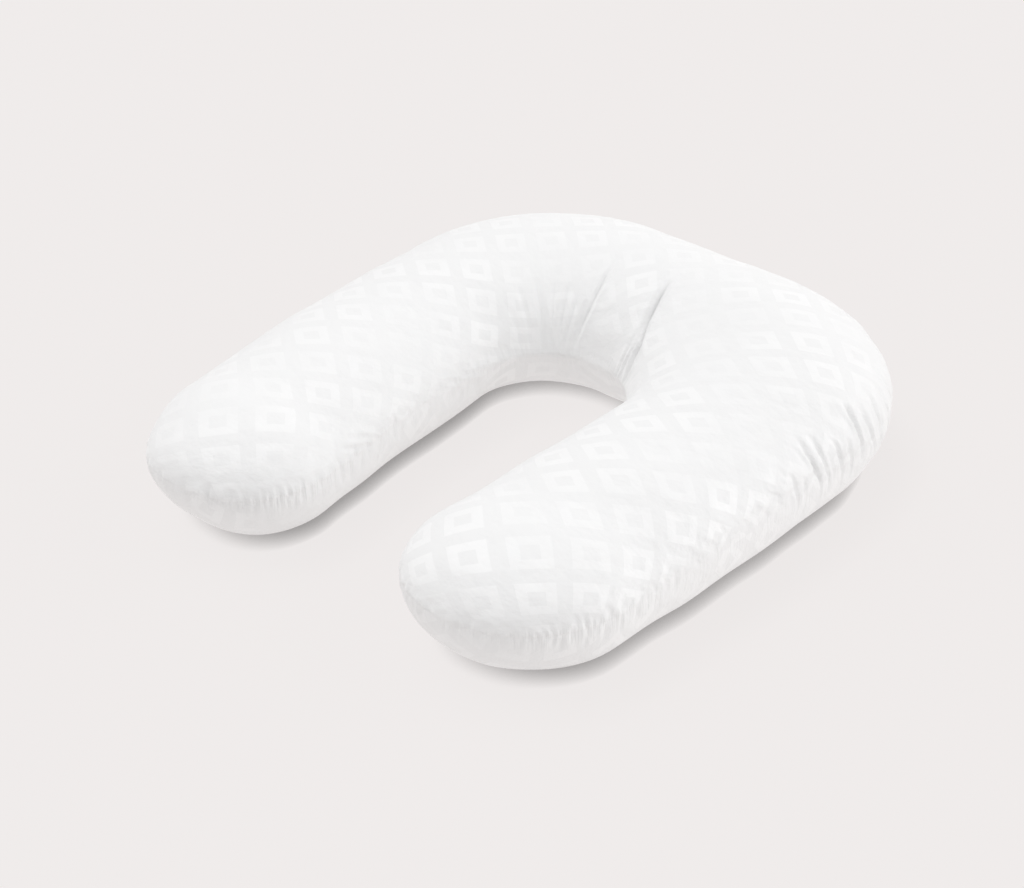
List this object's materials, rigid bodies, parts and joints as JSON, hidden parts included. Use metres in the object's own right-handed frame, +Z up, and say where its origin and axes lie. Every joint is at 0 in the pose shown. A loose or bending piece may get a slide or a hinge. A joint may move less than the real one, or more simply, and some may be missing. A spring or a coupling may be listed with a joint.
{
  "type": "pregnancy pillow",
  "caption": "White U-shaped stuffed body pillow, lying flat, with rounded toed-in legs, seam and gathered corners.",
  "frame": {"origin": "bottom centre of the bounding box, on the surface that the pillow lies on", "axes": "+Z up; the bend of the U is toward +Y and the legs point toward -Y"},
  "size_m": [0.8414, 0.942, 0.2059],
  "materials": {
    "cloth": "satin"
  },
  "bodies": {
    "root": {"pillow": "cloth"}
  },
  "joints": []
}
